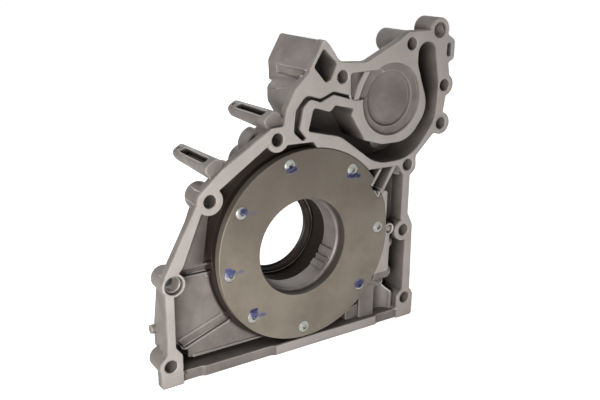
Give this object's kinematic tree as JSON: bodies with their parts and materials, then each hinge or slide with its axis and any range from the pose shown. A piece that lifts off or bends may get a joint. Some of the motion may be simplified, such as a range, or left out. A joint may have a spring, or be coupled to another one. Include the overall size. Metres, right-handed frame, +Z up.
{
  "type": "engine oil pump",
  "caption": "Engine front cover casting with a crank-driven gerotor oil pump, screwed cover plate, crankshaft seal, relief valve, coolant channel and long outer posts.",
  "frame": {"origin": "on the crankshaft axis, in the gasket plane, which is also the outer face of the cover plate", "axes": "+X to the right and +Z up as seen from the engine side; +Y forward, away from the engine"},
  "size_m": [0.3107, 0.0751, 0.297],
  "materials": {
    "cast_aluminium": "cast, with machined faces",
    "plate_steel": "dull ground steel",
    "screw_steel": "zinc plated, with paint marks",
    "pin_steel": "ground",
    "rotor_steel": "sintered",
    "seal_case_steel": "dull",
    "seal_rubber": "matt",
    "spring_steel": "bright wire",
    "sleeve_steel": "bright turned",
    "valve_steel": "ground",
    "plug_steel": "zinc plated",
    "copper_ring": "soft copper"
  },
  "bodies": {
    "cover": {"housing": "cast_aluminium", "cover_plate": "plate_steel", "cover_screws": "screw_steel", "plate_pins": "pin_steel", "seal_case": "seal_case_steel", "seal_lip": "seal_rubber", "seal_garter_spring": "spring_steel", "seal_dust_ring": "seal_rubber", "dowel_sleeve": "sleeve_steel", "ear_thread_insert": "sleeve_steel", "relief_spring": "spring_steel", "relief_plug": "plug_steel", "relief_plug_washer": "copper_ring", "relief_gallery_ball": "valve_steel", "gallery_plug": "plug_steel", "gallery_plug_washer": "copper_ring", "core_plug": "plug_steel"},
    "inner_rotor": {"inner_rotor": "rotor_steel"},
    "outer_rotor": {"outer_rotor": "rotor_steel"},
    "relief_piston": {"relief_piston": "valve_steel"}
  },
  "joints": [
    {"name": "inner_rotor_spin", "type": "hinge", "parent": "cover", "child": "inner_rotor", "pos_m": [0, 0.01905, 0], "axis": [0, 1, 0], "continuous": true},
    {"name": "outer_rotor_spin", "type": "hinge", "parent": "cover", "child": "outer_rotor", "pos_m": [0.005, 0.01905, 0], "axis": [0, 1, 0], "continuous": true},
    {"name": "relief_piston_slide", "type": "slide", "parent": "cover", "child": "relief_piston", "axis": [0, 0, -1], "range_m": [0, 0.007], "stiffness_N_per_m": 400, "springref_m": -0.002, "deforming": ["relief_spring"]}
  ],
  "couplings": [
    {"joint": "inner_rotor_spin", "follows": "outer_rotor_spin", "ratio": 1.1}
  ]
}
